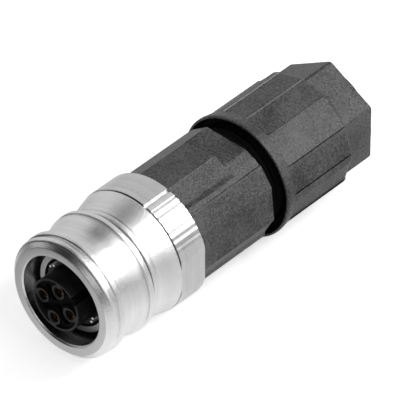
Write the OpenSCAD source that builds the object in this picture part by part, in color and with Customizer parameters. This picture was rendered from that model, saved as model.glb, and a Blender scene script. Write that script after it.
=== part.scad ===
// Straight field-wireable M12 female cable connector with a push-pull sleeve.
// It lies on its side. +Y runs along its axis from the mating face to the cable end, +Z is up,
// and the origin is the centre of the coupling sleeve's front face.
// Inside the modules +Z is the axis, and align() lays it down along +Y.

/* [Coupling sleeve] */
// Length of the coupling sleeve
sleeve_len = 9; // [8.6:0.1:11]
// Radius of the sleeve's mouth
mouth_r = 7; // [6.9:0.05:7.2]
// How far the sleeve's lip and ridge lie inside the metal body's radius
lip_inset = 0.15; // [0.1:0.05:0.3]
// Width of the rounded edge between the flat front face and the lip
edge_w = 1.05; // [0.8:0.05:1.25]
// Depth of the finger waist under the lip
waist_d = 0.7; // [0.5:0.05:0.9]
// Travel of the sleeve when it is pulled back
sleeve_travel = 0.8; // [0.4:0.1:1.2]

/* [Contact insert] */
// Radius of the insert's front barrel
insert_r = 4.15; // [4:0.05:4.3]
// How far the insert stands out in front of the sleeve
insert_proud = 0.85; // [0:0.05:1.2]
// Radius of the circle that the contacts sit on
contact_circle_r = 2.5; // [2.3:0.05:2.6]
// Radius of the hole in a contact that takes the mating pin
pin_hole_r = 0.5; // [0.4:0.02:0.55]
// Turn of the contact pattern and its keyway about the axis
contact_turn = 10; // [0:1:90]

/* [Metal body] */
// Length of the flared barrel behind the sleeve
flare_len = 4.6; // [4:0.1:6]
// Radius of the flare at its front
flare_front_r = 8.6; // [8.4:0.05:8.8]
// Radius of the metal body at the rear of its flare
body_r = 9.65; // [9.4:0.05:9.9]
// Length of the ring with the wrench flats
ring_len = 4.9; // [4:0.1:7]
// Step from the flare up to the ring with the wrench flats
ring_step = 0.1; // [0:0.05:0.3]
// Depth of the ring's wrench flats
ring_flat_d = 0.45; // [0.3:0.05:0.8]

/* [Barrel] */
// Length of the black barrel that shows
barrel_len = 15.2; // [13:0.1:20]
// Radius of the barrel over its ribs
barrel_r = 9.02; // [8.95:0.01:9.1]
// Width across the two flats at the barrel's rear
barrel_flats = 16; // [15.8:0.1:17]
// Length of the two flats at the barrel's rear
barrel_flats_len = 4.8; // [3:0.1:6]
// Depth of the grip panels beside the barrel's ribs
barrel_panel_d = 0.4; // [0.2:0.05:0.5]
// Turn of the barrel's facets about the axis
barrel_turn = -4; // [-45:1:45]

/* [Clamp nut] */
// Length of the nut's round skirt
skirt_len = 14.6; // [13:0.1:20]
// Length of the nut's hexagon
hex_len = 6; // [4:0.1:10]
// Radius of the nut's front rim
rim_r = 9.65; // [9.6:0.05:10]
// Radius of the nut's skirt over its ribs
skirt_r = 9.45; // [9.3:0.05:9.6]
// Width across the flats of the nut's hexagon
hex_flats = 15.3; // [15:0.1:16]
// Depth of the panels in the nut's skirt
nut_panel_d = 0.35; // [0.2:0.05:0.5]
// Gap between the barrel's shoulder and the nut's rim as delivered
nut_gap = 1.9; // [1:0.1:3]
// How far the nut screws on, and off, from there
nut_travel = 3; // [1:0.1:3]

/* [Cable clamping] */
// Radius of the cable hole in the nut
cable_r = 4.5; // [4.45:0.05:4.7]
// Radius of the hole through the cable seal
seal_hole_r = 3.6; // [3.5:0.05:3.7]
// Radius of the bore that takes the cable seal and the wire guide
gland_r = 6.2; // [6:0.05:6.4]
// Outer radius of the barrel's threaded spigot
spigot_r = 7.9; // [7.5:0.05:8]

/* [Fits] */
// Radial clearance of running fits
run_gap = 0.05; // [0.02:0.01:0.09]
// Clearance between pieces that are assembled and stay put
fit_gap = 0.1; // [0.05:0.01:0.15]

/* [Hidden] */
$fn = 96;
// Gap between faces that rest on each other
eps = 0.01;
// How far a cutting block runs past what it cuts
over = 1;
// Steps along each curve of a turned profile
steps = 8;
nickel = [0.80, 0.80, 0.81];
black = [0.22, 0.22, 0.23];
rubber = [0.10, 0.10, 0.10];

// ---- shared helpers ----

// Lays the connector's axis down along +Y.
module align() { rotate([-90, 0, 0]) children(); }

// A turned ring between two radii.
module ring(r_in, r_out, z, len) {
    translate([0, 0, z]) difference() {
        cylinder(r = r_out, h = len);
        translate([0, 0, -over]) cylinder(r = r_in, h = len + 2 * over);
    }
}

// A round section bent into a ring, as an O-ring is.
module o_ring(mean_r, section_r, z) {
    translate([0, 0, z]) rotate_extrude() translate([mean_r, 0]) circle(r = section_r, $fn = 32);
}

// A block that points outwards at a turn about the axis, between two radii.
module spoke(turn, r_from, r_to, width, z, len) {
    rotate([0, 0, turn]) translate([r_from, -width / 2, z]) cube([r_to - r_from, width, len]);
}

// All that lies beyond a flat whose normal points at a turn about the axis.
module beyond_flat(turn, dist, reach, z, len) {
    spoke(turn, dist, dist + reach, 2 * reach, z, len);
}

function polar(r, turn) = [r * cos(turn), r * sin(turn)];

// ---- coupling sleeve ----

lip_r = body_r - lip_inset;
face_r = lip_r - edge_w;
waist_r = lip_r - waist_d;
guide_r = 6.6;
land_r = guide_r + run_gap;
spring_r = 7.6;
land_z = 7.4;
land_len = 1;
skirt_z = land_z + land_len;
mouth_bevel = 0.25;

chamfer_end_r = lip_r - 0.5;
chamfer_end_z = 0.65;
bead_r = lip_r - 0.1;
bead_end_z = 1.5;
front_round = 0.6;
groove_d = 0.35;
groove_w = 0.45;
lip_z = 2.1;
lip_end_z = 3;
waist_z = 4.2;
ridge_z = sleeve_len - 0.9;
flare_end_z = ridge_z - 0.55;

// The front edge: a chamfer from the flat face, then a curve up to the bead.
front_edge = concat([[face_r, 0]], [for (i = [0:steps]) let (a = 90 * i / steps)
    [chamfer_end_r + (bead_r - chamfer_end_r) * sin(a), chamfer_end_z + front_round * (1 - cos(a))]]);
// The waist, a parabola that sweeps up to the ridge.
waist_end_r = lip_r - 0.08;
waist_from_z = lip_end_z + 0.3;
waist_curve = [for (i = [0:steps]) let (
        z = waist_from_z + (flare_end_z - waist_from_z) * i / steps,
        t = (z - waist_z) / (flare_end_z - waist_z))
    [waist_r + (waist_end_r - waist_r) * t * t, z]];

sleeve_outside = concat(front_edge, [
    [bead_r, bead_end_z - 0.1], [bead_r - 0.1, bead_end_z],
    [lip_r - groove_d - 0.1, bead_end_z + 0.1], [lip_r - groove_d - 0.1, bead_end_z + groove_w],
    [lip_r - 0.1, lip_z], [lip_r, lip_z + 0.15], [lip_r, lip_end_z - 0.05], [lip_r - 0.05, lip_end_z]],
    waist_curve, [
    [waist_end_r, flare_end_z + 0.1], [lip_r - groove_d, flare_end_z + 0.15],
    [lip_r - groove_d, ridge_z - 0.05], [lip_r - 0.1, ridge_z], [lip_r, ridge_z + 0.1],
    [lip_r, sleeve_len - 0.1], [lip_r - 0.1, sleeve_len]]);
sleeve_inside = [
    [spring_r + run_gap, sleeve_len], [spring_r + run_gap, skirt_z], [land_r, skirt_z],
    [land_r, land_z], [mouth_r, land_z], [mouth_r, mouth_bevel], [mouth_r + mouth_bevel, 0]];

module coupling_sleeve() {
    color(nickel) align() rotate_extrude() polygon(concat(sleeve_outside, sleeve_inside));
}

// ---- metal body ----

flare_z = sleeve_len + sleeve_travel + fit_gap;
ring_z = flare_z + flare_len + fit_gap;
barrel_z = ring_z + ring_len + fit_gap;

tube_z = 5.5;
tube_r = 5.8;
stop_w = 0.6;
stop_groove_r = 6.25;
pocket_len = 2.1;
stop_z = land_z - fit_gap - stop_w;
pocket_z = flare_z + pocket_len;
web_z = 9;
web_len = 1;
collar_r = 5.4;
seat_r = collar_r + fit_gap;
ring_r = body_r + ring_step;
ring_flat_dist = ring_r - ring_flat_d;
ring_wall = 1.45;
ring_seat_r = ring_r - ring_wall;
tail_r = 7.6;
tail_len = 5;
tail_end_z = barrel_z + tail_len;
seal_groove_r = 6.9;
seal_groove_z = barrel_z + 1.8;
seal_groove_len = 1.2;

// The flare, nearly a cone, that rounds off towards the ring.
flare_neck_z = flare_z + 0.9;
flare_top_z = flare_z + flare_len - 0.2;
flare_neck_r = flare_front_r + 0.1;
flare_curve = [for (i = [0:steps]) let (t = i / steps)
    [flare_neck_r + (body_r - flare_neck_r) * (0.75 * t + 0.25 * sin(90 * t)),
     flare_neck_z + (flare_top_z - flare_neck_z) * t]];

carrier_outside = concat([
    [tube_r, tube_z], [guide_r, tube_z],
    [guide_r, stop_z - eps], [stop_groove_r, stop_z - eps],
    [stop_groove_r, stop_z + stop_w + eps], [guide_r, stop_z + stop_w + eps],
    [guide_r, pocket_z], [spring_r, pocket_z], [spring_r, flare_z],
    [flare_front_r - 0.1, flare_z], [flare_front_r, flare_z + 0.1],
    [flare_front_r + 0.1, flare_z + 0.5], [flare_front_r, flare_z + 0.55],
    [flare_front_r, flare_z + 0.75]],
    flare_curve, [
    [body_r, flare_z + flare_len - 0.1], [body_r - 0.1, flare_z + flare_len],
    [ring_seat_r, flare_z + flare_len], [ring_seat_r, ring_z + ring_len],
    [tail_r, ring_z + ring_len], [tail_r, seal_groove_z], [seal_groove_r, seal_groove_z],
    [seal_groove_r, seal_groove_z + seal_groove_len], [tail_r, seal_groove_z + seal_groove_len],
    [tail_r, tail_end_z]]);
carrier_inside = [
    [seat_r, tail_end_z], [seat_r, web_z + web_len], [insert_r + fit_gap, web_z + web_len],
    [insert_r + fit_gap, web_z], [tube_r, web_z]];

module carrier() {
    color(nickel) align() rotate_extrude() polygon(concat(carrier_outside, carrier_inside));
}

// Grip on the ring: soft flutes, then a thin groove and a deep one beside a rib.
flute_turns = [for (i = [0:5]) 31 + 6 * i];
flute_w = 0.5;
flute_d = 0.1;
thin_groove_turn = 66.5;
thin_groove_w = 0.2;
thin_groove_d = 0.2;
deep_groove_turn = 74;
deep_groove_w = 0.55;
deep_groove_d = 0.4;
flat_half = acos(ring_flat_dist / ring_r);
bevel_half = 4.5;

module ring_cut(turn, depth, width) {
    spoke(-turn, ring_r - depth, ring_r + over, width, ring_z - over, ring_len + 2 * over);
}

module wrench_ring() {
    cut_z = ring_z - over;
    cut_len = ring_len + 2 * over;
    color(nickel) align() difference() {
        ring(ring_seat_r + run_gap, ring_r, ring_z, ring_len);
        for (side = [0, 180]) rotate([0, 0, side]) {
            beyond_flat(0, ring_flat_dist, ring_r, cut_z, cut_len);
            for (way = [-1, 1])
                beyond_flat(way * (flat_half + bevel_half), ring_r * cos(bevel_half), over, cut_z, cut_len);
            for (turn = flute_turns) ring_cut(turn, flute_d, flute_w);
            ring_cut(thin_groove_turn, thin_groove_d, thin_groove_w);
            ring_cut(deep_groove_turn, deep_groove_d, deep_groove_w);
        }
    }
}

// ---- pieces inside the sleeve ----

key_turn = contact_turn - 45;
latch_z = 2.8;
latch_head_in_r = 5.4;
latch_head_r = 6.25;
latch_head_len = 0.7;
latch_in_r = 5.1;
latch_out_r = 5.7;
latch_foot_len = 1.2;
latch_slot_w = 0.7;
latch_slot_len = 4;
latch_slot_turns = [for (side = [0, 180]) for (way = [-25, 25]) key_turn + side + way];

// Claws with a head that faces the mouth, on a foot that seats in the tube.
module latch_ring() {
    end_z = web_z - eps;
    slope = latch_head_r - latch_out_r;
    color(nickel) align() difference() {
        rotate_extrude() polygon([
            [latch_head_in_r, latch_z], [latch_head_r, latch_z], [latch_head_r, latch_z + latch_head_len],
            [latch_out_r, latch_z + latch_head_len + slope], [latch_out_r, end_z - latch_foot_len],
            [tube_r - eps, end_z - latch_foot_len], [tube_r - eps, end_z], [latch_in_r, end_z],
            [latch_in_r, latch_z + latch_head_len + slope], [latch_head_in_r, latch_z + latch_head_len]]);
        for (turn = latch_slot_turns)
            spoke(turn, 0, latch_head_r + over, latch_slot_w, latch_z - over, latch_slot_len + over);
    }
}

stop_gap_w = 2.5;
module stop_ring() {
    color(nickel) align() difference() {
        ring(stop_groove_r + eps, mouth_r - run_gap, stop_z, stop_w);
        spoke(90, 0, mouth_r + over, stop_gap_w, 0, sleeve_len);
    }
}

spring_turns = 3;
spring_wire_r = 0.3;
spring_mean_r = (guide_r + spring_r) / 2;
spring_steps = 24;
spring_sides = 8;
spring_from = skirt_z + spring_wire_r + eps;
spring_to = pocket_z - spring_wire_r - eps;

function spring_point(i, j) = let (
        turns = i / spring_steps,
        a = 360 * turns,
        b = 360 * j / spring_sides,
        r = spring_mean_r + spring_wire_r * cos(b))
    [r * cos(a), r * sin(a), spring_from + (spring_to - spring_from) * turns / spring_turns
        + spring_wire_r * sin(b)];

module sleeve_spring() {
    rows = spring_turns * spring_steps;
    n = spring_sides;
    points = [for (i = [0:rows]) for (j = [0:n - 1]) spring_point(i, j)];
    walls = [for (i = [0:rows - 1]) for (j = [0:n - 1]) let (k = (j + 1) % n)
        [i * n + j, i * n + k, (i + 1) * n + k, (i + 1) * n + j]];
    start_cap = [for (j = [n - 1:-1:0]) j];
    end_cap = [for (j = [0:n - 1]) rows * n + j];
    color("silver") align() polyhedron(points, concat(walls, [start_cap, end_cap]));
}

face_seal_r = 0.33;
module face_seal() {
    color(rubber) align() o_ring((tube_r + guide_r) / 2, face_seal_r, tube_z - face_seal_r - eps);
}

// ---- contact insert ----

insert_z = -insert_proud;
collar_z = web_z + web_len + eps;
collar_len = 2;
insert_rear_r = 4.9;
insert_rear_z = 21;
contact_turns = [for (i = [0:3]) contact_turn + 90 * i];
face_plate = 0.5;
pin_guide_r = 0.7;
pin_funnel_r = 0.9;
boss_r = 1.15;
boss_rib_w = 1.1;
face_recess = 0.35;
face_rim_r = insert_r - 0.35;
cross_w = 1;
cross_len = 6.4;
cross_d = 0.9;
key_w = 1.3;
key_d = 0.55;
key_len = 7;
socket_r = 1.05;
socket_z = insert_z + face_plate;
socket_depth = 6;
socket_len = 8;
shank_r = 0.7;
contact_gap = 0.1;

module at_contact(turn) { translate(concat(polar(contact_circle_r, turn), [0])) children(); }

module insert_front_cuts() {
    translate([0, 0, insert_z - over]) {
        difference() {
            cylinder(r = face_rim_r, h = over + face_recess);
            for (turn = contact_turns) at_contact(turn) cylinder(r = boss_r, h = 2 * over);
            for (turn = contact_turns) spoke(turn, contact_circle_r, insert_r, boss_rib_w, 0, 2 * over);
        }
    }
    for (turn = [key_turn, key_turn + 90]) rotate([0, 0, turn])
        translate([-cross_len / 2, -cross_w / 2, insert_z - over])
            cube([cross_len, cross_w, over + cross_d]);
    spoke(key_turn, insert_r - key_d, insert_r + over, key_w, insert_z - over, over + key_len);
}

module insert() {
    color(black) align() difference() {
        union() {
            translate([0, 0, insert_z]) cylinder(r = insert_r, h = collar_z - insert_z + eps);
            translate([0, 0, collar_z]) cylinder(r = collar_r, h = collar_len);
            translate([0, 0, collar_z]) cylinder(r = insert_rear_r, h = insert_rear_z - collar_z);
        }
        insert_front_cuts();
        for (turn = contact_turns) at_contact(turn) {
            translate([0, 0, insert_z - over])
                cylinder(r = pin_guide_r, h = over + face_plate + eps);
            translate([0, 0, insert_z - eps])
                cylinder(r1 = pin_funnel_r, r2 = pin_guide_r, h = pin_funnel_r - pin_guide_r);
            translate([0, 0, socket_z]) cylinder(r = socket_r + contact_gap, h = socket_len + contact_gap);
            translate([0, 0, socket_z])
                cylinder(r = shank_r + contact_gap, h = insert_rear_z - socket_z + over);
        }
    }
}

// The clip round the insert, with two tabs that reach towards the mouth.
clip_z = 2.9;
clip_len = 0.7;
clip_r = 5.05;
clip_tab_in_r = 4.7;
clip_tab_w = 1.1;
clip_tab_len = 1.5;
clip_notch_w = 0.35;
clip_notch_len = 0.9;
clip_tab_turns = [key_turn - 89, key_turn + 54];
module insert_clip() {
    clip_in_r = insert_r + run_gap;
    tab_z = clip_z - clip_tab_len;
    color(nickel) align() difference() {
        union() {
            ring(clip_in_r, clip_r, clip_z, clip_len);
            intersection() {
                ring(clip_tab_in_r, clip_r, tab_z, clip_tab_len + clip_len);
                for (turn = clip_tab_turns)
                    spoke(turn, 0, clip_r + over, clip_tab_w, tab_z, clip_tab_len + clip_len);
            }
        }
        spoke(key_turn, 0, clip_r + over, key_w, 0, clip_z + clip_len + over);
        for (turn = clip_tab_turns)
            spoke(turn, 0, clip_r + over, clip_notch_w, tab_z - over, clip_notch_len + over);
    }
}

retainer_len = 1;
module retainer_ring() {
    color(nickel) align()
        ring(insert_rear_r + run_gap, seat_r - run_gap, collar_z + collar_len + eps, retainer_len);
}

// ---- contacts ----

fork_z = insert_rear_z;
fork_len = 4.8;
fork_w = 1.2;
fork_t = 0.5;
fork_slot_w = 0.3;
fork_slot_len = 3;
slit_w = 0.2;
slit_len = 4;

module contact(turn) {
    color([0.85, 0.68, 0.32]) align() at_contact(turn) rotate([0, 0, turn]) difference() {
        union() {
            translate([0, 0, socket_z + eps]) cylinder(r = socket_r, h = socket_len);
            translate([0, 0, socket_z + eps]) cylinder(r = shank_r, h = fork_z - socket_z);
            translate([-fork_t / 2, -fork_w / 2, fork_z - eps]) cube([fork_t, fork_w, fork_len]);
        }
        translate([0, 0, socket_z - over]) cylinder(r = pin_hole_r, h = socket_depth + over);
        translate([-socket_r - over, -slit_w / 2, socket_z - over])
            cube([2 * (socket_r + over), slit_w, slit_len + over]);
        translate([-over, -fork_slot_w / 2, fork_z + fork_len - fork_slot_len])
            cube([2 * over, fork_slot_w, fork_slot_len + over]);
    }
}

module contact_1() { contact(contact_turns[0]); }
module contact_2() { contact(contact_turns[1]); }
module contact_3() { contact(contact_turns[2]); }
module contact_4() { contact(contact_turns[3]); }

// ---- barrel ----

shoulder_z = barrel_z + barrel_len;
flats_z = shoulder_z - barrel_flats_len;
tail_bore_r = tail_r + fit_gap;
tail_bore_end_z = tail_end_z + 0.3;
spigot_len = 12.2;
spigot_z = shoulder_z + spigot_len;
rib_half = 2.5;
rib_slope = 4.5;
facet_end = 25.5;
panel_end = 28;
panel_step = 0.12;
rib_notch_turn = 4.5;
rib_notch_w = 2.2;
rib_turns = [for (i = [0:3]) barrel_turn - 45 + 90 * i];
flats_turn = rib_turns[0] - 38.5;

// One quarter of the barrel's section: a flat, a sunk panel that rises to a rib, and a facet.
function barrel_quarter(rib) = [
    polar(barrel_r, rib - 90 + facet_end), polar(barrel_r, rib - panel_end - 0.5),
    polar(barrel_r - panel_step, rib - panel_end),
    polar(barrel_r - barrel_panel_d, rib - rib_half - rib_slope),
    polar(barrel_r, rib - rib_half), polar(barrel_r, rib), polar(barrel_r, rib + rib_half),
    polar(barrel_r - panel_step, rib + rib_half + 0.6), polar(barrel_r - 0.02, rib + rib_half + 1.2)];

module barrel() {
    color(black) align() difference() {
        union() {
            translate([0, 0, barrel_z]) linear_extrude(barrel_len)
                polygon([for (rib = rib_turns) each barrel_quarter(rib)]);
            translate([0, 0, shoulder_z - over]) cylinder(r = spigot_r, h = spigot_z - shoulder_z + over);
        }
        for (side = [0, 180]) {
            beyond_flat(flats_turn + side, barrel_flats / 2, barrel_r, flats_z, barrel_flats_len);
            spoke(rib_turns[0] + side - rib_notch_turn, barrel_r - barrel_panel_d, barrel_r + over,
                rib_notch_w, flats_z, barrel_flats_len);
        }
        translate([0, 0, barrel_z - over]) cylinder(r = tail_bore_r, h = tail_bore_end_z - barrel_z + over);
        translate([0, 0, barrel_z]) cylinder(r = gland_r, h = spigot_z - barrel_z + over);
    }
}

module barrel_seal() {
    section_r = (tail_bore_r - seal_groove_r) / 2 - eps;
    color(rubber) align()
        o_ring((tail_bore_r + seal_groove_r) / 2, section_r, seal_groove_z + seal_groove_len / 2);
}

// ---- cable end, inside ----

// Gap along the axis between the pieces that the nut presses together.
piece_gap = 0.2;
guide_nose_r = seat_r - 2 * fit_gap;
guide_nose_z = insert_rear_z + piece_gap;
guide_z = tail_bore_end_z + fit_gap;
guide_len = 8.5;
wire_r = 1.05;
wire_way = 2;
pocket_w = fork_w + 0.3;
pocket_t = fork_t + 0.3;

module wire_guide() {
    fit_r = gland_r - fit_gap;
    color([0.75, 0.75, 0.72]) align() difference() {
        union() {
            translate([0, 0, guide_nose_z]) cylinder(r = guide_nose_r, h = guide_z - guide_nose_z + eps);
            translate([0, 0, guide_z]) cylinder(r = fit_r, h = guide_len);
        }
        for (turn = contact_turns) at_contact(turn) rotate([0, 0, turn]) {
            translate([-pocket_t / 2, -pocket_w / 2, guide_nose_z - over])
                cube([pocket_t, pocket_w, fork_z + fork_len - guide_nose_z + over + piece_gap]);
            translate([0, 0, guide_z - wire_way]) cylinder(r = wire_r, h = guide_len + wire_way + over);
        }
    }
}

seal_z = guide_z + guide_len + piece_gap;
seal_len = 7.4;
seal_bevel = 0.8;
hole_bevel = 0.3;
module cable_seal() {
    fit_r = gland_r - fit_gap;
    color(rubber) align() rotate_extrude() polygon([
        [seal_hole_r + hole_bevel, seal_z], [fit_r - seal_bevel, seal_z], [fit_r, seal_z + seal_bevel],
        [fit_r, seal_z + seal_len - seal_bevel], [fit_r - seal_bevel, seal_z + seal_len],
        [seal_hole_r + hole_bevel, seal_z + seal_len], [seal_hole_r, seal_z + seal_len - hole_bevel],
        [seal_hole_r, seal_z + hole_bevel]]);
}

cage_z = seal_z + seal_len + piece_gap;
cage_ring_len = 2.8;
cage_len = 7.8;
cage_hole_r = seal_hole_r + hole_bevel;
cage_taper_len = 2;
cage_tip_r = 5.2;
cage_slots = 8;
cage_slot_w = 0.9;
module clamp_cage() {
    fit_r = gland_r - fit_gap;
    color([0.30, 0.30, 0.31]) align() difference() {
        rotate_extrude() polygon([
            [cage_hole_r, cage_z], [fit_r, cage_z], [fit_r, cage_z + cage_len - cage_taper_len],
            [cage_tip_r, cage_z + cage_len], [cage_hole_r + hole_bevel, cage_z + cage_len],
            [cage_hole_r, cage_z + cage_len - hole_bevel]]);
        for (i = [0:cage_slots - 1])
            spoke(360 * i / cage_slots, 0, gland_r + over, cage_slot_w, cage_z + cage_ring_len, cage_len);
    }
}

// ---- clamp nut and its slip ring ----

nut_z = shoulder_z + nut_gap;
hex_z = nut_z + skirt_len;
rear_z = hex_z + hex_len;
end_play = 0.3;
thrust_z = cage_z + cage_len + nut_travel + end_play;
thrust_len = 1;
thrust_r = 6.9;
thrust_hole_r = cable_r + 0.4;
thrust_bore_z = spigot_z + nut_travel + end_play;
thrust_end_z = thrust_z + thrust_len + fit_gap;
thread_r = spigot_r + fit_gap;
rim_bore_r = barrel_r + 0.28;
rim_bore_end_z = nut_z + nut_travel - nut_gap + 0.2;
rim_len = 1.8;
hex_corner_r = 8.7;
rear_bevel = 0.7;
hole_chamfer = 0.4;
wide_rib_half = 4;
thin_rib_half = 1.3;
panel_half = (30 - wide_rib_half - thin_rib_half) / 2;
panel_mid = wide_rib_half + panel_half;

module thrust_ring() {
    color("silver") align() ring(thrust_hole_r, thrust_r, thrust_z, thrust_len);
}

nut_outside = [
    [rim_bore_r, nut_z], [rim_r - 0.15, nut_z], [rim_r, nut_z + 0.15], [rim_r, nut_z + 0.5],
    [skirt_r, nut_z + rim_len - 0.1], [skirt_r, hex_z - rear_bevel],
    [skirt_r - nut_panel_d - 0.15, hex_z], [0, hex_z],
    [0, rim_bore_end_z], [rim_bore_r, rim_bore_end_z]];

// Panels sunk between the wide ribs over the hexagon's flats and the thin ones over its corners.
module nut_panels() {
    floor_d = skirt_r - nut_panel_d;
    width = 2 * floor_d * tan(panel_half);
    for (i = [0:5]) for (way = [-1, 1]) rotate([0, 0, 60 * i + way * panel_mid])
        translate([floor_d, -width / 2, nut_z + rim_len]) cube([over, width, skirt_len]);
}

module nut_bores() {
    translate([0, 0, nut_z]) cylinder(r = thread_r, h = thrust_bore_z - nut_z);
    translate([0, 0, nut_z]) cylinder(r = thrust_r + fit_gap, h = thrust_end_z - nut_z);
    translate([0, 0, nut_z]) cylinder(r = cable_r, h = rear_z - nut_z + over);
    translate([0, 0, rear_z - hole_chamfer])
        cylinder(r1 = cable_r, r2 = cable_r + hole_chamfer + eps, h = hole_chamfer + eps);
}

module clamp_nut() {
    color(black) align() difference() {
        union() {
            rotate_extrude() polygon(nut_outside);
            intersection() {
                translate([0, 0, hex_z - over]) rotate([0, 0, 30])
                    cylinder(r = hex_flats / 2 / cos(30), h = hex_len + over, $fn = 6);
                translate([0, 0, hex_z - over]) cylinder(r = hex_corner_r, h = hex_len + over);
            }
        }
        nut_panels();
        nut_bores();
    }
}

coupling_sleeve();
latch_ring();
stop_ring();
sleeve_spring();
face_seal();
carrier();
insert();
insert_clip();
retainer_ring();
contact_1();
contact_2();
contact_3();
contact_4();
wrench_ring();
barrel();
barrel_seal();
wire_guide();
cable_seal();
clamp_cage();
thrust_ring();
clamp_nut();
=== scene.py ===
"""Looks of a straight field-wireable M12 female cable connector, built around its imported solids.

Turns are in degrees about the connector's axis, counted as the solids count them: from +X towards -Z.
"""

import math

import bmesh
import bpy
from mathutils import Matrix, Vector


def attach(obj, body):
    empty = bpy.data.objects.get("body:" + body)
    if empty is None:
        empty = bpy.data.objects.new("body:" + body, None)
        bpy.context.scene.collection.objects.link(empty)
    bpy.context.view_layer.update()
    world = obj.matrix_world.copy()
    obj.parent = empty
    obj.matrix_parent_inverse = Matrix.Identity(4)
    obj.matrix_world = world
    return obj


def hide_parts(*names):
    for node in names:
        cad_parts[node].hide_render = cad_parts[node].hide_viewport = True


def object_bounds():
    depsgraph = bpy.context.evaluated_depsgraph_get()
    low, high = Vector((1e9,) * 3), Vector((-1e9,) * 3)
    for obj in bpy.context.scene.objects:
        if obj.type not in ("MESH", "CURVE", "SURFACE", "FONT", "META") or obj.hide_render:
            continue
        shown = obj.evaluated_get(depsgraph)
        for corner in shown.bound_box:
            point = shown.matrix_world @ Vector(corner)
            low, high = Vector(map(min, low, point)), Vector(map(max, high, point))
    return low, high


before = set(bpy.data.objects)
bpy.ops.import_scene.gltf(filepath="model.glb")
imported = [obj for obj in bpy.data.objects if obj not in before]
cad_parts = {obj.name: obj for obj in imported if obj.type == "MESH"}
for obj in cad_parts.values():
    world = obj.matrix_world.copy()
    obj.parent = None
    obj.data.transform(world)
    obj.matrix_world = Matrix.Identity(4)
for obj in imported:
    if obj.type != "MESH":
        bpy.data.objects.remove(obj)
cad_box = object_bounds()
MM = 0.001

# ---- camera ----

AZIMUTH, ELEVATION = math.radians(41.4), math.radians(38.7)
FRONT_PX_PER_MM = 7.3
CAMERA_DEPTH_MM = 795.0
BACK = Vector((math.sin(AZIMUTH) * math.cos(ELEVATION), -math.cos(AZIMUTH) * math.cos(ELEVATION),
               math.sin(ELEVATION)))
RIGHT = Vector((math.cos(AZIMUTH), math.sin(AZIMUTH), 0))
UP = BACK.cross(RIGHT)

camera_data = bpy.data.cameras.new("camera")
camera_data.sensor_width = 36
camera_data.lens = FRONT_PX_PER_MM * CAMERA_DEPTH_MM / 400 * 36
camera_data.clip_end = 10
camera = bpy.data.objects.new("camera", camera_data)
bpy.context.scene.collection.objects.link(camera)
camera.rotation_euler = (math.radians(90) - ELEVATION, 0, AZIMUTH)
camera.location = (RIGHT * (140 / FRONT_PX_PER_MM) + UP * (102 / FRONT_PX_PER_MM) + BACK * CAMERA_DEPTH_MM) * MM
bpy.context.scene.camera = camera
bpy.context.scene.view_settings.view_transform = "Standard"


# ---- node helpers ----

class Nodes:
    """Adds shader nodes to a tree and links them."""

    def __init__(self, tree):
        self.tree = tree
        tree.nodes.clear()

    def add(self, kind, inputs=None, **settings):
        node = self.tree.nodes.new(kind)
        for key, value in settings.items():
            setattr(node, key, value)
        for key, value in (inputs or {}).items():
            if isinstance(value, bpy.types.NodeSocket):
                self.tree.links.new(value, node.inputs[key])
            else:
                node.inputs[key].default_value = value
        return node

    def math(self, operation, a, b=0.0):
        return self.add("ShaderNodeMath", {0: a, 1: b}, operation=operation).outputs[0]

    def noise(self, vector, scale, detail=3.0, rough=0.5):
        inputs = {"Vector": vector, "Scale": scale, "Detail": detail, "Roughness": rough}
        return self.add("ShaderNodeTexNoise", inputs).outputs["Fac"]

    def between(self, fac, low, high, from_low=0.3, from_high=0.7):
        inputs = {"Value": fac, "From Min": from_low, "From Max": from_high, "To Min": low, "To Max": high}
        return self.add("ShaderNodeMapRange", inputs).outputs["Result"]

    def bump(self, height, distance, normal=None):
        inputs = {"Height": height, "Strength": 0.8, "Distance": distance}
        if normal:
            inputs["Normal"] = normal
        return self.add("ShaderNodeBump", inputs).outputs[0]

    def blend(self, fac, a, b):
        node = self.add("ShaderNodeMix", data_type="RGBA")
        for socket, value in zip((node.inputs[0], node.inputs[6], node.inputs[7]), (fac, a, b)):
            if isinstance(value, bpy.types.NodeSocket):
                self.tree.links.new(value, socket)
            else:
                socket.default_value = value
        return node.outputs[2]


def grey(v):
    return (v, v, v, 1.0)


def metal_tone(v, gilt):
    """A nearly neutral grey, or a yellower one with gilt above 0."""
    return (min(1.0, v * (1 + 0.5 * gilt)), v, v * (1 - 0.6 * gilt) + 0.004, 1.0)


def base_material(name):
    mat = bpy.data.materials.new(name)
    mat.use_nodes = True
    return mat, Nodes(mat.node_tree)


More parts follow.
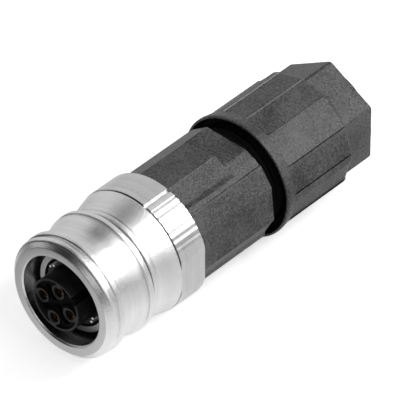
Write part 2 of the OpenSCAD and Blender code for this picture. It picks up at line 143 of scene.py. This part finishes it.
def turned_metal(name, dark, light, rough, rings=1.0, peel=1.0, gilt=0.0):
    """Turned and plated metal: fine rings about the axis, a cast skin under the plating, faint clouds."""
    mat, n = base_material(name)
    pos = n.add("ShaderNodeTexCoord").outputs["Object"]
    xyz = n.add("ShaderNodeSeparateXYZ", {0: pos})
    square = n.math("ADD", n.math("POWER", xyz.outputs["X"], 2.0), n.math("POWER", xyz.outputs["Z"], 2.0))
    ring_pos = n.add("ShaderNodeCombineXYZ", {0: n.math("SQRT", square), 1: xyz.outputs["Y"], 2: 0.0}).outputs[0]
    fine_rings = n.noise(ring_pos, 7000.0, 2.0, 0.6)
    wide_rings = n.noise(ring_pos, 1500.0, 2.0, 0.5)
    clouds = n.noise(pos, 260.0, 3.0, 0.6)
    skin = n.noise(pos, 5200.0, 3.0, 0.6)
    dents = n.noise(pos, 900.0, 2.0, 0.5)
    tone = n.math("ADD", n.math("MULTIPLY", clouds, 0.5), n.math("MULTIPLY", wide_rings, 0.5))
    colour = n.blend(n.between(tone, 0.0, 1.0), metal_tone(dark, gilt), metal_tone(light, gilt))
    worn = n.math("ADD", n.math("MULTIPLY", skin, 0.5), n.math("MULTIPLY", clouds, 0.5))
    roughness = n.between(worn, rough * 0.8, rough * 1.25)
    normal = n.bump(fine_rings, 8e-6 * rings)
    normal = n.bump(dents, 1.2e-5 * peel, normal)
    normal = n.bump(skin, 3.5e-5 * peel, normal)
    bsdf = n.add("ShaderNodeBsdfPrincipled", {"Base Color": colour, "Roughness": roughness, "Normal": normal})
    bsdf.inputs["Metallic"].default_value = 1.0
    n.add("ShaderNodeOutputMaterial", {"Surface": bsdf.outputs[0]})
    return mat


def moulded(name, dark, light, rough, grain=1.0, specular=0.5):
    """Moulded plastic or rubber: an eroded grain with pale specks, and slight clouds."""
    mat, n = base_material(name)
    pos = n.add("ShaderNodeTexCoord").outputs["Object"]
    fine = n.noise(pos, 4200.0, 3.0, 0.6)
    broad = n.noise(pos, 200.0, 3.0, 0.55)
    speck = n.noise(pos, 3150.0, 1.0, 0.4)
    pale = n.math("ADD", n.math("MULTIPLY", broad, 0.4), n.math("MULTIPLY", speck, 0.6))
    colour = n.blend(n.between(pale, 0.0, 1.0, 0.38, 0.64), grey(dark), grey(light))
    worn = n.math("ADD", n.math("MULTIPLY", fine, 0.5), n.math("MULTIPLY", broad, 0.5))
    roughness = n.between(worn, rough * 0.85, rough * 1.15)
    normal = n.bump(fine, 1.3e-4 * grain)
    bsdf = n.add("ShaderNodeBsdfPrincipled", {"Base Color": colour, "Roughness": roughness, "Normal": normal})
    bsdf.inputs["Specular IOR Level"].default_value = specular
    n.add("ShaderNodeOutputMaterial", {"Surface": bsdf.outputs[0]})
    return mat


NICKEL = turned_metal("nickel", 0.74, 0.88, 0.13, peel=1.5)
NICKEL_CAST = turned_metal("nickel_cast", 0.74, 0.88, 0.15, peel=2.1)
NICKEL_RING = turned_metal("nickel_ring", 0.62, 0.76, 0.24, peel=0.5)
NICKEL_FACED = turned_metal("nickel_faced", 0.60, 0.72, 0.36, peel=0.3)
# a rougher nickel whose darker tone is painted shade for parts inside the mouth
NICKEL_DULL_PAINTED_SHADE = turned_metal("nickel_dull_painted_shade", 0.36, 0.46, 0.30, peel=0.3)
# painted shade: a near-black copy of the nickel for metal deep in the mouth
NICKEL_PAINTED_SHADE = turned_metal("nickel_painted_shade", 0.02, 0.04, 0.40, peel=0.3)
STEEL = turned_metal("steel", 0.50, 0.62, 0.28)
GOLD = turned_metal("gold", 0.5, 0.6, 0.25, gilt=1.0)
BLACK = moulded("black_plastic", 0.008, 0.085, 0.34)
BLACK_NUT = moulded("black_nut_plastic", 0.010, 0.090, 0.36, grain=0.9)
# painted highlight: a paler copy of the black plastic, laid on the nut's panel walls that face the light
BLACK_PAINTED_HIGHLIGHT = moulded("black_painted_highlight", 0.10, 0.16, 0.34, grain=0.3)
# painted shade: a near-black copy of the plastic for bores, gaps and recesses and for step walls turned from the
# light
BLACK_PAINTED_SHADE = moulded("black_painted_shade", 0.002, 0.004, 0.6, grain=0.4, specular=0.05)
INSERT = moulded("insert_plastic", 0.003, 0.008, 0.40, grain=0.25, specular=0.3)
GREY = moulded("grey_plastic", 0.45, 0.55, 0.45, grain=0.6)
RUBBER = moulded("rubber", 0.015, 0.03, 0.62, grain=0.8, specular=0.35)


# ---- shape helpers ----

def smooth(mesh, angle):
    mesh.shade_smooth()
    mesh.set_sharp_from_angle(angle=math.radians(angle))


def new_object(name, mesh, body, mat, replaces=(), other=None, where=None, painted_walls=()):
    obj = bpy.data.objects.new(name, mesh)
    bpy.context.scene.collection.objects.link(obj)
    mesh.materials.clear()
    mesh.materials.append(mat)
    if other:
        # the faces whose middle, as (y, radius) in mm, passes the test take the other material
        mesh.materials.append(other)
        for face in mesh.polygons:
            c = face.center / MM
            if where(c.y, math.hypot(c.x, c.z)):
                face.material_index = 1
    for mark, turns, y_from, y_to in painted_walls:
        # the narrow faces beside these turns take the mark's material: a painted highlight or painted shade on a
        # step wall
        index = len(mesh.materials)
        mesh.materials.append(mark)
        for face in mesh.polygons:
            c = face.center / MM
            turn = math.degrees(math.atan2(-c.z, c.x))
            outside = y_from < c.y < y_to and math.hypot(c.x, c.z) > 8.5
            if outside and any(abs(apart(turn, t)) < 0.3 for t in turns):
                face.material_index = index
    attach(obj, body)
    if replaces:
        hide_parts(*replaces)
    return obj


def rounded(path, radius):
    """A closed outline with each corner rounded. A point is (y, r) or (y, r, its own radius)."""
    steps = 3
    done = []
    count = len(path)
    for i, point in enumerate(path):
        before, after = Vector(path[i - 1][:2]), Vector(path[(i + 1) % count][:2])
        here = Vector(point[:2])
        want = point[2] if len(point) > 2 else radius
        a, b = before - here, after - here
        reach = min(want, a.length * 0.45, b.length * 0.45)
        turn = abs(math.pi - a.angle(b, math.pi)) if a.length > 1e-6 and b.length > 1e-6 else 0
        if reach < 1e-4 or turn < math.radians(6):
            done.append(tuple(here))
            continue
        start, end = here + a.normalized() * reach, here + b.normalized() * reach
        for k in range(steps + 1):
            t = k / steps
            p = start * (1 - t) ** 2 + here * 2 * t * (1 - t) + end * t * t
            done.append(tuple(p))
    return done


def turned(name, path, body, mat, replaces=(), turns=None, radius=None, other=None, where=None, painted_walls=()):
    """A closed outline of (y, r) in mm swept round the axis. radius(turn, y, r, i) may change r."""
    turns = turns or [i * 1.5 for i in range(240)]
    count, rows = len(turns), len(path)
    points = []
    for i, (y, r) in enumerate(path):
        for turn in turns:
            here = (radius(turn, y, r, i) if radius else r) * MM
            points.append((here * math.cos(math.radians(turn)), y * MM, -here * math.sin(math.radians(turn))))
    faces = []
    for i in range(rows):
        row, row_after = i * count, (i + 1) % rows * count
        for j in range(count):
            j_after = (j + 1) % count
            faces.append((row + j, row + j_after, row_after + j_after, row_after + j))
    mesh = bpy.data.meshes.new(name)
    mesh.from_pydata(points, [], faces)
    bm = bmesh.new()
    bm.from_mesh(mesh)
    bmesh.ops.recalc_face_normals(bm, faces=bm.faces)
    bm.to_mesh(mesh)
    bm.free()
    smooth(mesh, 32)
    return new_object(name, mesh, body, mat, replaces, other, where, painted_walls)


def bevelled(name, node, width_mm, body, mat, segments=2, other=None, where=None):
    """A CAD node's own form with its edges eased."""
    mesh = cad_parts[node].data.copy()
    bm = bmesh.new()
    bm.from_mesh(mesh)
    bmesh.ops.remove_doubles(bm, verts=bm.verts, dist=1e-7)
    bmesh.ops.dissolve_limit(bm, angle_limit=math.radians(0.5), verts=bm.verts, edges=bm.edges)
    bm.to_mesh(mesh)
    bm.free()
    if mesh.attributes.get("custom_normal"):
        mesh.attributes.remove(mesh.attributes["custom_normal"])
    smooth(mesh, 28)
    obj = new_object(name, mesh, body, mat, (node,), other, where)
    mod = obj.modifiers.new("ease", "BEVEL")
    mod.width = width_mm * MM
    mod.segments = segments
    mod.limit_method = "ANGLE"
    mod.angle_limit = math.radians(28)
    mod.harden_normals = False
    return obj


def step_turns(base, edges, spread=(0.15, 0.5, 1.1)):
    """Evenly spaced turns, with more of them beside each edge."""
    out = set(round(i * base, 4) for i in range(int(round(360 / base))))
    for e in edges:
        for s in spread:
            for way in (-1, 1):
                out.add(round((e + way * s) % 360, 4))
    return sorted(out)


def apart(a, b):
    """Signed difference of two turns, from -180 to 180."""
    return (a - b + 180) % 360 - 180


def soft_step(x, low, high):
    t = min(1, max(0, (x - low) / (high - low)))
    return t * t * (3 - 2 * t)


def section_radius(corners, turn):
    """Radius at a turn of a section whose corners are (turn, radius), joined by straight edges."""
    for (t0, r0), (t1, r1) in zip(corners, corners[1:] + corners[:1]):
        width = (t1 - t0) % 360
        at = (turn - t0) % 360
        if at <= width:
            a, b = math.radians(at), math.radians(width - at)
            whole = math.radians(width)
            return r0 * r1 * math.sin(whole) / (r0 * math.sin(a) + r1 * math.sin(b))
    return corners[0][1]


# ---- coupling sleeve ----

front_edge = [(0.0, 8.45, 0.06)]
for i in range(10):
    a = math.radians(10 * i)
    front_edge.append((0.65 + 0.6 * (1 - math.cos(a)), 9.0 + 0.4 * math.sin(a)))
waist = []
for i in range(21):
    y = 3.25 + (7.55 - 3.25) * i / 20
    t = (y - 4.2) / (7.55 - 4.2)
    waist.append((y, 8.8 + 0.62 * t * t))
sleeve_path = front_edge + [
    (1.42, 9.4, 0.08), (1.52, 9.3, 0.05), (1.6, 9.02, 0.05), (1.95, 9.02, 0.05), (2.08, 9.38, 0.05),
    (2.2, 9.5, 0.08), (2.95, 9.5, 0.06), (3.05, 9.42, 0.06), (3.12, 9.0, 0.06)] + waist + [
    (7.66, 9.42, 0.05), (7.7, 9.12, 0.04), (8.05, 9.12, 0.04), (8.1, 9.4, 0.05), (8.2, 9.5, 0.08),
    (8.9, 9.5, 0.08), (9.0, 9.4, 0.06),
    (9.0, 7.65), (8.4, 7.65), (8.4, 6.65), (7.4, 6.65), (7.4, 7.0), (0.25, 7.0, 0.08), (0.0, 7.25, 0.08)]
turned("sleeve_shell", rounded(sleeve_path, 0.05), "sleeve", NICKEL, ("coupling_sleeve",),
       other=NICKEL_FACED, where=lambda y, r: y < 0.05 and r < 8.5)

# ---- carrier with its flare ----

flare = []
for i in range(17):
    t = i / 16
    flare.append((10.8 + 3.5 * t, 8.7 + 0.95 * (0.75 * t + 0.25 * math.sin(math.radians(90 * t)))))
carrier_path = [
    (5.5, 5.8), (5.5, 6.6), (6.69, 6.6), (6.69, 6.25), (7.31, 6.25), (7.31, 6.6), (12.0, 6.6), (12.0, 7.6),
    (9.9, 7.6), (9.9, 8.5), (10.0, 8.6), (10.4, 8.7), (10.45, 8.6), (10.65, 8.6)] + flare + [
    (14.42, 9.65), (14.5, 9.56), (14.5, 8.3), (19.5, 8.3), (19.5, 7.6), (21.4, 7.6), (21.4, 6.9), (22.6, 6.9),
    (22.6, 7.6), (24.6, 7.6), (24.6, 5.5), (10.0, 5.5), (10.0, 4.25), (9.0, 4.25), (9.0, 5.8)]
turned("flared_carrier", rounded(carrier_path, 0.05), "housing", NICKEL_CAST, ("carrier",))

# ---- ring with the wrench flats ----

FLAT_HALF = math.degrees(math.acos(9.3 / 9.75))


def ring_radius(turn, y, r, i):
    if r < 9:
        return r
    out = r
    for side in (0, 180):
        off = apart(turn, side)
        if abs(off) < 80:
            out = min(out, 9.3 / math.cos(math.radians(off)))
        for way in (-1, 1):
            edge = apart(turn, side + way * (FLAT_HALF + 4.5))
            if abs(edge) < 60:
                out = min(out, 9.75 * math.cos(math.radians(4.5)) / math.cos(math.radians(edge)))
        for k in range(6):
            off = abs(apart(turn, side - 31 - 6 * k)) * 0.17
            out = min(out, r - 0.05 * (1 - soft_step(off, 0.02, 0.5)))
        for place, width, depth in ((66.5, 0.1, 0.2), (74, 0.27, 0.4)):
            off = abs(apart(turn, side - place)) * 0.17
            out = min(out, r - depth * (1 - soft_step(off, width - 0.03, width + 0.04)))
    return out


ring_edges = [side - t for side in (0, 180) for t in (65.9, 67.1, 66.5, 72.4, 75.6, 74, FLAT_HALF, -FLAT_HALF)]
ring_path = [(14.6, 8.35), (14.6, 9.7), (14.66, 9.75)] + [(14.8 + 0.5 * k, 9.75) for k in range(10)] + [
    (19.44, 9.75), (19.5, 9.7), (19.5, 8.35)]
turned("wrench_band", ring_path, "housing", NICKEL_RING, ("wrench_ring",),
       turns=step_turns(1.0, ring_edges), radius=ring_radius)

# ---- barrel ----

BARREL_TURN = -4
RIBS = [BARREL_TURN - 45 + 90 * i for i in range(4)]
barrel_corners = []
for rib in RIBS:
    barrel_corners += [(rib - 64.5, 9.02), (rib - 28.5, 9.02), (rib - 28, 8.9), (rib - 7, 8.62), (rib - 2.5, 9.02),
                       (rib, 9.03), (rib + 2.5, 9.02), (rib + 3.1, 8.9), (rib + 3.7, 9.0)]
FLATS_TURN = RIBS[0] - 38.5
spin = [-0.5, -0.25, 0, 0.25, 0.5]


def barrel_section(turn):
    return sum(section_radius(barrel_corners, turn + s) for s in spin) / len(spin)


def barrel_radius(turn, y, r, i):
    if r < 8.8:
        if r > 7.95 or r < 7.75 or y < 34.9:
            return r
        # a thread of 1.5 mm pitch on the spigot
        phase = (y / 1.5 + turn / 360) % 1
        return 7.9 - 0.5 * (1 - abs(2 * phase - 1)) * soft_step(y, 35.4, 36.2) * (1 - soft_step(y, 46.0, 46.9))
    out = barrel_section(turn) + (r - 9.02)
    rear = soft_step(y, 29.96, 30.04)
    if rear > 0:
        for side in (0, 180):
            off = apart(turn, FLATS_TURN + side)
            if abs(off) < 60:
                out = min(out, out + rear * (8.0 / math.cos(math.radians(off)) + (r - 9.02) - out))
            notch = abs(apart(turn, RIBS[0] + side - 4.5)) * 0.157
            out -= rear * max(0, out - 8.62) * (1 - soft_step(notch, 1.05, 1.15))
    return out


barrel_edges = [rib + d for rib in RIBS for d in (-64.5, -28.5, -28, -7, -2.5, 2.5, 3.1, 3.7)]
barrel_edges += [FLATS_TURN + side + d for side in (0, 180) for d in (-27.5, 27.5)]
barrel_edges += [RIBS[0] + side - 4.5 + d for side in (0, 180) for d in (-7, 7)]
barrel_path = [(19.6, 7.75), (19.6, 8.9), (19.63, 8.98), (19.72, 9.02)]
barrel_path += [(19.9 + 10.0 * k / 20, 9.02) for k in range(21)]
barrel_path += [(29.96, 9.02), (29.98, 9.02), (30.0, 9.02), (30.02, 9.02), (30.04, 9.02), (30.1, 9.02)]
barrel_path += [(30.4 + 4.2 * k / 9, 9.02) for k in range(10)]
barrel_path += [(34.72, 9.0), (34.78, 8.95), (34.8, 8.86), (34.8, 7.9)]
barrel_path += [(34.9 + 0.1 * k, 7.9) for k in range(120)]
barrel_path += [(46.95, 7.6), (47.0, 7.5), (47.0, 6.3), (46.9, 6.2), (24.9, 6.2), (24.9, 7.7), (19.7, 7.7)]
# the spigot behind the shoulder and the bores take painted shade, a near-black copy of the barrel's plastic
turned("grip_barrel", barrel_path, "housing", BLACK, ("barrel",),
       turns=step_turns(1.5, barrel_edges), radius=barrel_radius,
       other=BLACK_PAINTED_SHADE, where=lambda y, r: y > 34.79 or r < 7.8)

# ---- clamp nut ----

PANEL_HALF = (30 - 4 - 1.3) / 2
PANEL_MID = 4 + PANEL_HALF


def nut_skirt(turn):
    best = 9.45
    for i in range(6):
        for way in (-1, 1):
            off = apart(turn, 60 * i + way * PANEL_MID)
            if abs(off) < PANEL_HALF + 0.4:
                floor = 9.1 / math.cos(math.radians(off))
                best = min(best, floor + (9.45 - floor) * soft_step(abs(off), PANEL_HALF - 0.28, PANEL_HALF + 0.28))
    return best


def nut_hex(turn):
    out = 8.7
    for i in range(6):
        off = apart(turn, 60 * i)
        if abs(off) <= 31:
            out = min(out, 7.65 / math.cos(math.radians(off)))
    return out


def nut_radius(turn, y, r, i):
    if i >= NUT_OUTSIDE:
        return r
    if y <= 38.5 or r < 7.6:
        return r
    if r > 9.3:
        into = soft_step(y, 38.5, 38.62)
        return r + into * (nut_skirt(turn) - 9.45)
    if r > 8.9:
        return min(r, nut_skirt(turn) - (9.45 - r))
    return nut_hex(turn) + (r - 7.65)


nut_edges = [60 * i + w * e for i in range(6) for w in (-1, 1) for e in (4, 28.7)]
nut_edges += [60 * i + w * math.degrees(math.acos(7.65 / 8.7)) for i in range(6) for w in (-1, 1)]
# panel walls facing the key light take a painted highlight; the walls turned away take painted shade
lit_walls = [60 * i + e for i in range(6) for e in (4, -28.7)]
dark_walls = [60 * i + e for i in range(6) for e in (-4, 28.7)]
nut_path = [(36.7, 9.32), (36.7, 9.5), (36.73, 9.6), (36.85, 9.65), (37.2, 9.65), (37.4, 9.63), (38.3, 9.47),
            (38.45, 9.45), (38.5, 9.45), (38.56, 9.45), (38.62, 9.45)]
nut_path += [(38.8 + 11.7 * k / 16, 9.45) for k in range(17)]
nut_path += [(50.7, 9.43), (50.9, 9.36), (51.2, 9.1), (51.3, 8.95), (51.3, 7.72), (51.36, 7.65)]
nut_path += [(51.6 + 5.2 * k / 8, 7.65) for k in range(9)]
nut_path += [(57.05, 7.63), (57.2, 7.56), (57.28, 7.45), (57.3, 7.3)]
NUT_OUTSIDE = len(nut_path)
nut_path += [(57.3, 6.4), (57.3, 5.6), (57.3, 4.93), (57.25, 4.85), (56.9, 4.5), (53.5, 4.5), (53.5, 7.0),
             (50.3, 7.0), (50.3, 8.0), (38.1, 8.0), (38.0, 8.1), (38.0, 9.2), (37.9, 9.3)]
# the nut's bores and inner rim take painted shade; its panel walls take a painted highlight on one side and painted
# shade on the other
turned("clamp_nut_body", nut_path, "nut", BLACK_NUT, ("clamp_nut",),
       turns=step_turns(1.5, nut_edges, (0.28, 0.6, 1.1)), radius=nut_radius,
       other=BLACK_PAINTED_SHADE, where=lambda y, r: r < 7.55 and y < 57 or r < 9.35 and y < 38.2 or r < 8.9 and y < 51,
       painted_walls=((BLACK_PAINTED_HIGHLIGHT, lit_walls, 38.6, 50.6), (BLACK_PAINTED_SHADE, dark_walls, 38.6, 50.6)))

# ---- pieces in the mouth ----

# the recess floors round the sockets take painted shade, a near-black copy of the insert's plastic
bevelled("insert_face", "insert", 0.06, "housing", INSERT,
         other=BLACK_PAINTED_SHADE, where=lambda y, r: r < 3.75 and y > -0.7)
# the latch claws take the darkened nickel: painted shade inside the mouth
bevelled("latch_claws", "latch_ring", 0.06, "housing", NICKEL_DULL_PAINTED_SHADE)
# the clip's ring behind the tabs takes painted shade; only the tabs keep the bright nickel
bevelled("clip_tabs", "insert_clip", 0.03, "housing", NICKEL,
         other=NICKEL_PAINTED_SHADE, where=lambda y, r: y > 2.85)

for node, mat in {"stop_ring": STEEL, "sleeve_spring": STEEL, "face_seal": RUBBER, "retainer_ring": STEEL,
                  "contact_1": GOLD, "contact_2": GOLD, "contact_3": GOLD, "contact_4": GOLD, "barrel_seal": RUBBER,
                  "wire_guide": GREY, "cable_seal": RUBBER, "clamp_cage": BLACK, "thrust_ring": STEEL}.items():
    for k in range(len(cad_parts[node].material_slots)):
        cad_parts[node].material_slots[k].material = mat

# ---- floor, world and lights ----

floor_z = cad_box[0][2]
mesh = bpy.data.meshes.new("floor")
mesh.from_pydata([(-3, -3, floor_z), (3, -3, floor_z), (3, 3, floor_z), (-3, 3, floor_z)], [], [(0, 1, 2, 3)])
floor = bpy.data.objects.new("floor", mesh)
bpy.context.scene.collection.objects.link(floor)
mat, n = base_material("floor_white")
path = n.add("ShaderNodeLightPath")
spot = n.add("ShaderNodeTexCoord").outputs["Object"]
far = n.add("ShaderNodeVectorMath", {0: spot}, operation="LENGTH").outputs["Value"]
way = n.add("ShaderNodeVectorMath", {0: spot}, operation="NORMALIZE").outputs[0]
# painted shade: for glossy rays the floor is darker in a wedge in front of the connector and to its left, close to
# it
front = n.add("ShaderNodeVectorMath", {0: way, 1: (-0.55, -0.83, 0)}, operation="DOT_PRODUCT").outputs["Value"]
front = n.between(front, 0.35, 0.93, 0.1, 0.8)
painted_shade_factor = n.math("SUBTRACT", 1.0, n.math("MULTIPLY", front, n.between(far, 0.0, 1.0, 0.008, 0.045)))
glossy = path.outputs["Is Glossy Ray"]
shown = n.math("ADD", n.math("MULTIPLY", path.outputs["Is Camera Ray"], 0.5), n.math("MULTIPLY", glossy, 0.25))
albedo = n.math("ADD", n.math("MULTIPLY", painted_shade_factor, glossy), n.math("SUBTRACT", 1.0, glossy))
tone = n.math("MULTIPLY", albedo, 0.9)
white = n.add("ShaderNodeCombineColor", {0: tone, 1: tone, 2: tone}).outputs[0]
diffuse = n.add("ShaderNodeBsdfDiffuse", {"Color": white})
glow = n.add("ShaderNodeEmission", {"Color": (1, 1, 1, 1), "Strength": n.math("MULTIPLY", shown, albedo)})
both = n.add("ShaderNodeAddShader", {0: diffuse.outputs[0], 1: glow.outputs[0]})
n.add("ShaderNodeOutputMaterial", {"Surface": both.outputs[0]})
mesh.materials.append(mat)

world = bpy.data.worlds.new("studio")
bpy.context.scene.world = world
world.use_nodes = True
n = Nodes(world.node_tree)
path = n.add("ShaderNodeLightPath")
direction = n.add("ShaderNodeTexCoord").outputs["Generated"]


def toward(azimuth, elevation):
    """A direction in the studio: azimuth 0 is -Y and 90 is +X."""
    a, e = math.radians(azimuth), math.radians(elevation)
    return Vector((math.sin(a) * math.cos(e), -math.cos(a) * math.cos(e), math.sin(e)))


def lobe(azimuth, elevation, inner, outer):
    """1 inside a cone of directions, falling softly to 0 outside it."""
    near = n.add("ShaderNodeVectorMath", {0: direction, 1: toward(azimuth, elevation)}, operation="DOT_PRODUCT")
    inputs = {"Value": near.outputs["Value"], "From Min": math.cos(math.radians(outer)),
              "From Max": math.cos(math.radians(inner))}
    return n.add("ShaderNodeMapRange", inputs, interpolation_type="SMOOTHSTEP").outputs["Result"]


def keep(level, *masks):
    """Multiplies the room by what is left where a mask is 1."""
    mask = masks[0]
    for other in masks[1:]:
        mask = n.math("MAXIMUM", mask, other)
    return n.math("SUBTRACT", 1.0, n.math("MULTIPLY", mask, 1 - level))


# what the metal mirrors: pale walls, a wide softbox on the right, the dark side behind the camera,
# a gap above the table and a dark flag over the left
height = n.add("ShaderNodeSeparateXYZ", {0: direction}).outputs["Z"]
band = n.math("SUBTRACT", 1.0, n.between(n.math("ABSOLUTE", n.math("SUBTRACT", height, 0.07)), 0.0, 1.0, 0.10, 0.26))
room = n.math("ADD", 0.66, n.math("MULTIPLY", lobe(97, 48, 28, 52), 0.5))
room = n.math("MULTIPLY", room, keep(0.05, lobe(-37, 22, 20, 36), lobe(-35, 48, 18, 34), lobe(-12, 44, 10, 28)))
room = n.math("MULTIPLY", room, keep(0.12, n.math("MULTIPLY", band, lobe(25, 5, 38, 62))))
room = n.math("MULTIPLY", room, keep(0.5, n.math("MULTIPLY", band, lobe(95, 5, 38, 60))))
room = n.math("MULTIPLY", room, keep(0.22, lobe(-125, 68, 7, 20)))
room = n.math("MULTIPLY", room, keep(0.55, lobe(0, 90, 6, 20)))
straight = n.math("MAXIMUM", path.outputs["Is Camera Ray"], path.outputs["Is Transmission Ray"])
glossy = path.outputs["Is Glossy Ray"]
mirror = n.math("MULTIPLY", glossy, room)
diffuse_light = n.math("MULTIPLY", n.math("SUBTRACT", 1.0, n.math("MAXIMUM", straight, glossy)), 0.5)
strength = n.math("ADD", n.math("ADD", straight, mirror), diffuse_light)
back = n.add("ShaderNodeBackground", {"Color": (1, 1, 1, 1), "Strength": strength})
n.add("ShaderNodeOutputWorld", {"Surface": back.outputs[0]})


def softbox(name, azimuth, elevation, distance, size, power):
    aim = Vector((0, 0.03, 0))
    data = bpy.data.lights.new(name, "AREA")
    data.shape = "DISK"
    data.size = size
    data.energy = power
    lamp = bpy.data.objects.new(name, data)
    bpy.context.scene.collection.objects.link(lamp)
    lamp.location = aim + toward(azimuth, elevation) * distance
    lamp.rotation_euler = toward(azimuth, elevation).to_track_quat("Z", "Y").to_euler()


softbox("key", 138, 40, 0.6, 0.26, 1.5)
softbox("side", 92, 52, 0.6, 0.30, 0.6)
